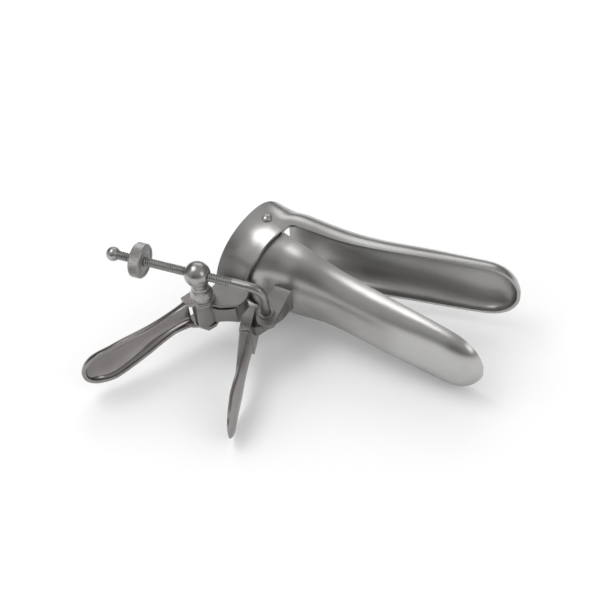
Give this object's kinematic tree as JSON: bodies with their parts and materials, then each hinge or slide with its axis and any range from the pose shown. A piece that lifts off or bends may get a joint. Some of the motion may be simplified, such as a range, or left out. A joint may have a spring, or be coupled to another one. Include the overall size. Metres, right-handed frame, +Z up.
{
  "type": "bivalve speculum",
  "caption": "Hinged steel vaginal speculum with two spoon blades, a round mouth, two spoon handles and a screw that limits or holds how far the blades open.",
  "frame": {"origin": "centre of the bounding box's underside: the surface on which the instrument lies", "axes": "+X along the blades towards their tips, +Y from the inner blade towards the outer one across the hinge's axis, +Z up from the table"},
  "size_m": [0.1551, 0.1109, 0.053],
  "materials": {
    "blade_steel": "satin stainless steel",
    "rivet_steel": "satin stainless steel",
    "handle_steel": "polished stainless steel",
    "bracket_steel": "satin stainless steel",
    "turned_steel": "fine turned stainless steel",
    "screw_steel": "threaded stainless steel",
    "nut_steel": "matt knurled steel"
  },
  "bodies": {
    "outer_side": {"outer_blade": "blade_steel", "pivot_rivet_screw_side": "rivet_steel", "pivot_rivet_far_side": "rivet_steel", "outer_arm": "bracket_steel", "side_plate": "bracket_steel", "outer_handle": "handle_steel"},
    "inner_side": {"inner_blade": "blade_steel", "inner_lug": "bracket_steel", "inner_handle": "handle_steel"},
    "post": {"swivel_post": "turned_steel", "post_washer": "turned_steel", "post_foot_nut": "turned_steel"},
    "screw": {"screw_rod": "screw_steel", "rod_end_ball": "turned_steel", "leg_collar": "turned_steel"},
    "nut": {"thumb_nut": "nut_steel"}
  },
  "joints": [
    {"name": "blade_pivot", "type": "hinge", "parent": "outer_side", "child": "inner_side", "pos_m": [-0.02569, 0.02856, 0.02678], "axis": [-0.0785, 0.203, -0.976], "range_deg": [-21, 8]},
    {"name": "rod_swing", "type": "hinge", "parent": "inner_side", "child": "screw", "pos_m": [-0.01018, -0.0078, 0.04144], "axis": [-0.0785, 0.203, -0.976], "range_deg": [-4.9, 12.6]},
    {"name": "post_swivel", "type": "hinge", "parent": "outer_side", "child": "post", "pos_m": [-0.03783, -0.0108, 0.04303], "axis": [-0.0785, 0.203, -0.976], "range_deg": [-8.7, 3.4]},
    {"name": "nut_travel", "type": "slide", "parent": "screw", "child": "nut", "axis": [-0.9925, -0.1077, 0.0574], "range_m": [-0.0051, 0.0061]}
  ],
  "couplings": [
    {"joint": "rod_swing", "follows": "blade_pivot", "ratio": -0.5918},
    {"joint": "post_swivel", "follows": "blade_pivot", "ratio": 0.4082}
  ]
}
